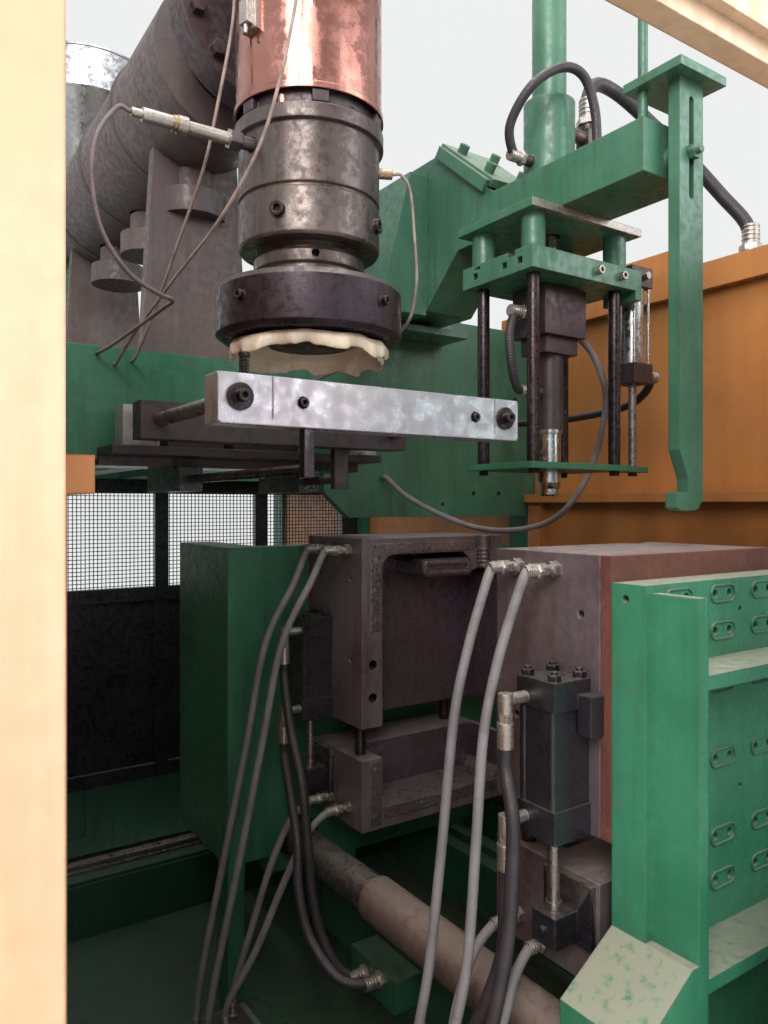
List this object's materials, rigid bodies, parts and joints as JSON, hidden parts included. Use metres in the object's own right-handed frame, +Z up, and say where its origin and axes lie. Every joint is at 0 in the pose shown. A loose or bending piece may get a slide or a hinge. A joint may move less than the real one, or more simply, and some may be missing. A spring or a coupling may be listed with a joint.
{
  "type": "blow moulding machine",
  "caption": "Shuttle extrusion blow moulding machine with open canister mould, die head, pinch bars, blow pin, lifting mould bottoms and sliding guard door.",
  "frame": {"origin": "centre of the machine's footprint on the floor", "axes": "+X along the shuttle from the die head towards the blow unit, +Y along the extruder from the guard door to the drive, +Z up"},
  "size_m": [2.18, 3.846, 3.4603],
  "materials": {
    "green_paint": "satin machine green with dust",
    "light_green_paint": "satin light green, worn",
    "beige_paint": "satin beige",
    "orange_paint": "satin orange, stained",
    "black_paint": "semi-gloss black",
    "blue_paint": "satin blue",
    "cover_sheet": "matt brown-grey",
    "copper_sheet": "tarnished copper",
    "dark_steel": "heat-stained dark steel",
    "ground_steel": "ground steel",
    "hopper_steel": "stainless sheet",
    "aluminium_bar": "milled aluminium",
    "mould_metal": "milled and rust-stained mould metal",
    "bowl_plastic": "amber bowl",
    "grey_rubber": "matt grey hose",
    "black_rubber": "matt black hose",
    "cable_sheath": "braided sheath"
  },
  "bodies": {
    "frame": {"base_frame": "green_paint", "base_panels": "green_paint", "shuttle_rails": "ground_steel", "upper_platform": "green_paint", "blow_bracket": "green_paint", "guard_frame": "beige_paint", "side_guards": "orange_paint", "rear_guard": "black_paint", "oil_unit": "green_paint", "barrel": "dark_steel", "barrel_cover": "cover_sheet", "feed_hopper": "hopper_steel", "gearbox": "green_paint", "drive_motor": "blue_paint", "head_body": "dark_steel", "copper_shield": "copper_sheet", "die_body": "dark_steel", "die_ring": "dark_steel", "head_cylinder": "green_paint", "melt_sensor": "ground_steel", "pinch_mount": "dark_steel", "air_filter": "bowl_plastic", "blow_mount": "light_green_paint", "blow_cylinder": "light_green_paint", "stripper_cylinder": "black_paint", "shuttle_cylinder": "black_paint", "beam_hoses": "black_rubber", "sensor_cable": "cable_sheath", "head_wires": "cable_sheath", "blow_hose": "cable_sheath"},
    "carriage": {"carriage_bed": "green_paint", "shuttle_rod": "ground_steel"},
    "near_clamp": {"near_platen": "green_paint", "tie_bars": "ground_steel", "rear_yoke": "green_paint", "clamp_cylinder": "green_paint", "near_mould": "mould_metal", "near_lift_cylinder": "black_paint", "near_water_hoses": "grey_rubber", "near_low_hoses": "grey_rubber", "near_oil_hoses": "black_rubber"},
    "far_clamp": {"far_platen": "green_paint", "clamp_rod": "ground_steel", "far_mould": "mould_metal", "far_lift_cylinder": "black_paint", "far_water_hoses": "grey_rubber", "far_low_hoses": "grey_rubber", "far_oil_hoses": "black_rubber"},
    "near_lower": {"near_lower_mould": "mould_metal"},
    "far_lower": {"far_lower_mould": "mould_metal"},
    "pinch_near": {"pinch_bar_near": "aluminium_bar"},
    "pinch_far": {"pinch_bar_far": "dark_steel"},
    "pin": {"blow_pin": "ground_steel", "pin_hoses": "black_rubber"},
    "stripper": {"stripper_plate": "green_paint"},
    "hook": {"hook_bar": "light_green_paint"},
    "core": {"die_core": "dark_steel"},
    "screw_body": {"screw": "ground_steel"},
    "lid": {"hopper_lid": "hopper_steel"},
    "door": {"front_door": "beige_paint"}
  },
  "joints": [
    {"name": "shuttle_slide", "type": "slide", "parent": "frame", "child": "carriage", "axis": [-1, 0, 0], "range_m": [0, 0.549]},
    {"name": "near_clamp_slide", "type": "slide", "parent": "carriage", "child": "near_clamp", "axis": [0, 1, 0], "range_m": [0, 0.2595]},
    {"name": "far_clamp_slide", "type": "slide", "parent": "carriage", "child": "far_clamp", "axis": [0, 1, 0], "range_m": [-0.2595, 0]},
    {"name": "near_lift_slide", "type": "slide", "parent": "near_clamp", "child": "near_lower", "axis": [0, 0, 1], "range_m": [0, 0.0845]},
    {"name": "far_lift_slide", "type": "slide", "parent": "far_clamp", "child": "far_lower", "axis": [0, 0, 1], "range_m": [0, 0.0845]},
    {"name": "pinch_near_slide", "type": "slide", "parent": "frame", "child": "pinch_near", "axis": [0, 1, 0], "range_m": [0, 0.18]},
    {"name": "pinch_far_slide", "type": "slide", "parent": "frame", "child": "pinch_far", "axis": [0, 1, 0], "range_m": [-0.18, 0]},
    {"name": "pin_slide", "type": "slide", "parent": "frame", "child": "pin", "axis": [0, 0, -1], "range_m": [0, 0.17]},
    {"name": "stripper_slide", "type": "slide", "parent": "frame", "child": "stripper", "axis": [0, 0, -1], "range_m": [0, 0.1]},
    {"name": "hook_slide", "type": "slide", "parent": "frame", "child": "hook", "axis": [0, 0, 1], "range_m": [-0.07, 0.09]},
    {"name": "core_slide", "type": "slide", "parent": "frame", "child": "core", "axis": [0, 0, -1], "range_m": [0, 0.02]},
    {"name": "screw_turn", "type": "hinge", "parent": "frame", "child": "screw_body", "pos_m": [-0.306, 0.975, 2.76], "axis": [0, 1, 0], "continuous": true},
    {"name": "lid_hinge", "type": "hinge", "parent": "frame", "child": "lid", "pos_m": [-0.306, 1.252, 3.428], "axis": [-1, 0, 0], "range_deg": [0, 95]},
    {"name": "door_slide", "type": "slide", "parent": "frame", "child": "door", "axis": [-1, 0, 0], "range_m": [0, 0.949]}
  ],
  "couplings": [
    {"joint": "far_clamp_slide", "follows": "near_clamp_slide", "ratio": -1},
    {"joint": "pinch_far_slide", "follows": "pinch_near_slide", "ratio": -1}
  ]
}
